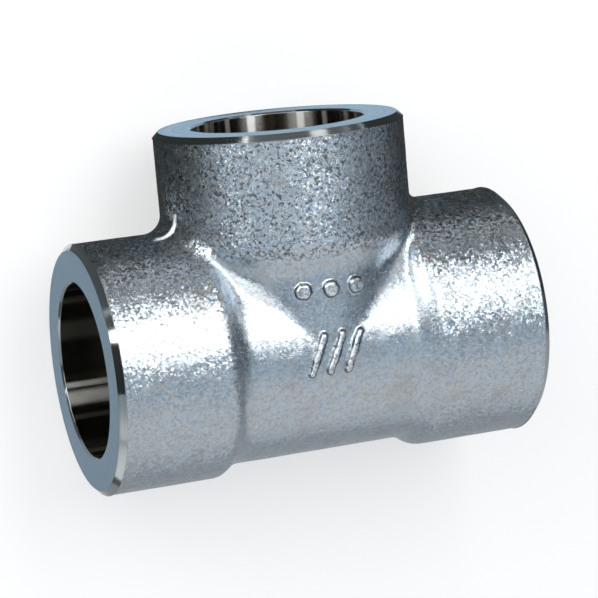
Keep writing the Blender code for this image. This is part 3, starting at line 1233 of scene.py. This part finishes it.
@dataclass(frozen=True)
class Card:
    """A studio card beside the tee that only its reflections show, by its reach in millimetres."""

    name: str
    x_reach: tuple
    y_reach: tuple
    z_reach: tuple
    glow: tuple
    unseen_by: tuple = ("camera", "diffuse", "shadow", "transmission")

    def build(self) -> None:
        """Place the card."""
        (left, right), (near, far), (low, high) = self.x_reach, self.y_reach, self.z_reach
        corners = [(left, near, low), (right, near, low), (right, far, high), (left, far, high)]
        if left == right:
            corners = [(left, near, low), (left, far, low), (left, far, high), (left, near, high)]
        mesh = bpy.data.meshes.new(self.name)
        mesh.from_pydata([Vector(corner) * MM for corner in corners], [], [(0, 1, 2, 3)])
        card = bpy.data.objects.new(self.name, mesh)
        material = bpy.data.materials.new(self.name)
        material.use_nodes = True
        tree = Tree(material.node_tree)
        material.node_tree.nodes.remove(material.node_tree.nodes["Principled BSDF"])
        glow = tree.out("ShaderNodeEmission", {}, {"Color": self.glow, "Strength": 1.0})
        tree.feed(material.node_tree.nodes["Material Output"].inputs["Surface"], glow)
        mesh.materials.append(material)
        for rays in self.unseen_by:
            setattr(card, f"visible_{rays}", False)
        bpy.context.scene.collection.objects.link(card)


@dataclass(frozen=True)
class Floor:
    """The pale bench top."""

    half_width: float = 3.0
    colour: tuple = (0.86, 0.86, 0.86, 1.0)
    roughness: float = 0.9
    plain_white: float = 0.55

    def build(self) -> None:
        """Lay the floor."""
        half = self.half_width
        corners = [(-half, -half, 0), (half, -half, 0), (half, half, 0), (-half, half, 0)]
        mesh = bpy.data.meshes.new("bench")
        mesh.from_pydata(corners, [], [(0, 1, 2, 3)])
        floor = bpy.data.objects.new("bench", mesh)
        material = bpy.data.materials.new("bench")
        material.use_nodes = True
        tree = Tree(material.node_tree)
        shader = material.node_tree.nodes["Principled BSDF"]
        shader.inputs["Base Color"].default_value = self.colour
        shader.inputs["Roughness"].default_value = self.roughness
        rays = tree.node("ShaderNodeLightPath", {}, {})
        seen = Value(tree, rays.outputs["Is Camera Ray"])
        white = tree.out("ShaderNodeEmission", {}, {"Color": WHITE, "Strength": 1.0})
        sockets = {"Fac": seen * self.plain_white, 1: shader.outputs[0], 2: white}
        mixed = tree.out("ShaderNodeMixShader", {}, sockets)
        tree.feed(material.node_tree.nodes["Material Output"].inputs["Surface"], mixed)
        mesh.materials.append(material)
        bpy.context.scene.collection.objects.link(floor)


@dataclass(frozen=True)
class Patch:
    """A part of the room's walls with a glow of its own.

    The patch shows where any of its zones does. A zone is a row of soft edges: each an axis, X to
    the right, Y up or Z to the front, and where along it the zone starts and where it is full.
    """

    glow: float
    zones: tuple

    def share(self, way: Place) -> Value:
        """How far the patch shows in a direction."""
        shares = []
        for zone in self.zones:
            edges = [way.part(axis).rise(start, full) for axis, start, full in zone]
            shares.append(reduce(Value.__mul__, edges))
        return reduce(Value.at_least, shares)


@dataclass(frozen=True)
class Room:
    """The soft light from all around, brighter on some sides than on others."""

    below: float = 0.86
    level: float = 0.72
    level_step: tuple = (-0.65, -0.25)
    cool_colour: tuple = (0.83, 1.0, 1.14, 1.0)
    cool_zone: tuple = (("Y", -0.6, -0.2), ("Y", 0.4, 0.1))
    horizon: Patch = Patch(0.62, ((("Y", -0.34, -0.24), ("Y", 0.0, -0.08)),))
    gap: Patch = Patch(0.06, ((("Y", -0.06, -0.02), ("Y", 0.15, 0.12)),))
    above: Patch = Patch(0.20, ((("Y", 0.05, 0.4),),))
    right_foot: Patch = Patch(0.35, ((("X", 0.5, 0.75), ("Y", 0.0, 0.12), ("Y", 0.5, 0.35)),))
    right_side: Patch = Patch(
        1.05, ((("X", 0.35, 0.6), ("Y", 0.22, 0.38), ("Y", 0.70, 0.55), ("Z", -0.3, 0.0)),)
    )
    dark_right: Patch = Patch(
        0.15,
        (
            (("X", 0.45, 0.86), ("Y", 0.12, 0.0), ("Y", -0.62, -0.12)),
            (("X", 0.76, 0.9), ("Y", 0.42, 0.28), ("Y", -0.62, -0.12)),
        ),
    )
    dark_left: Patch = Patch(
        0.12,
        (
            (("X", -0.2, -0.5), ("Z", 0.4, 0.0), ("Y", -0.55, -0.3), ("Y", 0.8, 0.65)),
            (("X", -0.2, -0.5), ("Z", 0.46, 0.36), ("Y", -0.12, -0.06), ("Y", 0.8, 0.65)),
        ),
    )

    def build(self) -> None:
        """Light the room, whose later patches lie over the earlier ones."""
        world = bpy.data.worlds.new("room")
        world.use_nodes = True
        bpy.context.scene.world = world
        tree = Tree(world.node_tree)
        way = tree.place("ShaderNodeTexCoord", {}, {}, "Generated")
        glow = way.part("Y").rise(*self.level_step, self.below, self.level)
        patches = [self.horizon, self.gap, self.above, self.right_foot, self.right_side]
        for patch in [*patches, self.dark_right, self.dark_left]:
            glow = tree.blend(patch.share(way), glow, patch.glow)
        cool = Patch(0.0, (self.cool_zone,)).share(way)
        colour = tree.blend_colours(cool, WHITE, self.cool_colour)
        rays = tree.node("ShaderNodeLightPath", {}, {})
        seen = Value(tree, rays.outputs["Is Camera Ray"])
        background = world.node_tree.nodes["Background"]
        tree.feed(background.inputs["Strength"], tree.blend(seen, glow, 1.0))
        tree.feed(background.inputs["Color"], tree.blend_colours(seen, colour, WHITE))


@dataclass(frozen=True)
class PhotoCamera:
    """The camera at the photograph's viewing angle."""

    back: Vector = field(default_factory=lambda: Vector((-0.31746, 0.17814, 0.93139)))
    right: Vector = field(default_factory=lambda: Vector((0.93732, -0.08991, 0.33668)))
    distance: float = 0.3101
    pixels_wide: float = 598.0
    focal_pixels: float = 3001.0
    sensor: float = 36.0
    nearest: float = 0.01
    crossing_pixel: tuple = (296.9, 338.3)

    def build(self, crossing: Vector) -> None:
        """Stand the camera.

        Args:
            crossing: the point that lands on the crossing's pixel.
        """
        back = self.back.normalized()
        right = (self.right - back * self.right.dot(back)).normalized()
        up = back.cross(right)
        middle = self.pixels_wide / 2
        aside = middle - self.crossing_pixel[0]
        above = self.crossing_pixel[1] - middle
        sight = -back * self.focal_pixels + right * aside + up * above
        back_seen = -sight.normalized()
        right_seen = (right - back_seen * right.dot(back_seen)).normalized()
        up_seen = back_seen.cross(right_seen)
        data = bpy.data.cameras.new("photo_camera")
        data.sensor_width = self.sensor
        data.lens = self.focal_pixels * self.sensor / self.pixels_wide
        data.clip_start = self.nearest
        camera = bpy.data.objects.new("photo_camera", data)
        turned = Matrix((right_seen, up_seen, back_seen)).transposed().to_4x4()
        camera.matrix_world = Matrix.Translation(crossing + back * self.distance) @ turned
        bpy.context.scene.collection.objects.link(camera)
        bpy.context.scene.camera = camera


@dataclass(frozen=True)
class Studio:
    """Everything around the tee: lamps, the room, the bench, its cards and the camera."""

    near: float = 0.45
    black: tuple = (0.05, 0.055, 0.055, 1.0)
    dark: tuple = (0.12, 0.13, 0.14, 1.0)
    far_dark: tuple = (0.10, 0.11, 0.12, 1.0)

    def lamps(self) -> list[Softbox]:
        """The soft panels: bearing, height, width and height of panel, radiance and distance."""
        near = self.near
        return [
            Softbox("main_panel", -22.0, 31.5, 92.0, 47.0, 1.35),
            Softbox("bright_strip", 21.0, 28.0, 24.0, 44.0, 1.9, 0.46),
            Softbox("front_strip", 8.0, 32.0, 9.0, 62.0, 4.0, near),
            Softbox("left_strip", -61.0, 32.0, 9.0, 62.0, 3.5, near),
            Softbox("left_kicker", -76.5, 17.0, 8.0, 8.0, 3.6, near),
            Softbox("right_ceiling", 60.0, 69.0, 9.0, 7.0, 1.3, near),
            Softbox("left_ceiling", -95.0, 69.5, 6.5, 9.0, 4.0, near),
            Softbox("left_corner", -92.0, 49.0, 14.0, 14.0, 3.0, near),
            Softbox("left_fill", -76.0, 48.0, 18.0, 18.0, 2.0, near),
            Softbox("left_wide", -42.0, 37.0, 30.0, 30.0, 1.3, 0.47),
        ]

    def cards(self) -> list[Card]:
        """The cards: reach along X, Y and Z, and glow."""
        return [
            Card("branch_dark_floor", (-21, 110), (-4, 120), (0.1, 0.1), self.black),
            Card("left_dark_floor", (-400, -33), (-45, 400), (0.15, 0.15), self.dark),
            Card("corner_dark_floor", (-33, -21), (9.5, 120), (0.2, 0.2), self.dark),
            Card("front_dim_floor", (-33, 110), (-120, -19), (0.1, 0.1), (0.45, 0.47, 0.49, 1.0)),
            Card("right_dark_floor", (110, 700), (-150, 500), (0.1, 0.1), self.far_dark),
            Card("right_foot_floor", (40, 110), (-19, -4), (0.1, 0.1), self.far_dark),
            Card("branch_face_floor", (-10, 22), (18, 25), (0.3, 0.3), (0.43, 0.58, 0.70, 1.0)),
            Card("left_face_floor", (-33, -22.8), (-45, 9), (0.2, 0.2), (0.34, 0.385, 0.42, 1.0)),
            Card("left_edge_card", (-33, -33), (-8, 2.5), (21, 32), (0.04, 0.04, 0.04, 1.0)),
            Card("bore_dark_side", (-21, -21), (9.5, 120), (0, 20), (0.05, 0.055, 0.05, 1.0)),
        ]

    def build(self, crossing: Vector) -> None:
        """Set the studio up.

        Args:
            crossing: where the tee's axes meet, which the camera looks at.
        """
        for part in [Floor(), *self.lamps(), Room(), *self.cards()]:
            part.build()
            log.info("studio: %s", getattr(part, "name", type(part).__name__.lower()))
        PhotoCamera().build(crossing)
        log.info("studio: camera")


def main() -> None:
    """Build the tee and its studio, and report each piece."""
    logging.basicConfig(level=logging.INFO, format="%(name)s: %(message)s")
    bpy.context.scene.view_settings.view_transform = "Standard"
    chamfer = TurnedSteel(
        name="polished_chamfer",
        colour=(0.44, 0.47, 0.47, 1.0),
        ring=0.08 * MM,
        depth=0.002 * MM,
        roughness=0.10,
        tone=0.06,
        metallic=1.0,
    )
    materials = {
        Finish.BLASTED: BlastedSkin().material(),
        Finish.TURNED: TurnedSteel().material(),
        Finish.POLISHED: chamfer.material(),
        Finish.BORED: BoredWall().material(),
    }
    sizes = ForgingSizes()
    tee = Forging(sizes=sizes).build(materials)
    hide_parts("tee_body")
    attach(tee, "root")
    triangles = sum(len(face.vertices) - 2 for face in tee.data.polygons)
    log.info("%s: %d triangles", tee.name, triangles)
    Studio().build(sizes.crossing())


if __name__ == "__main__":
    main()
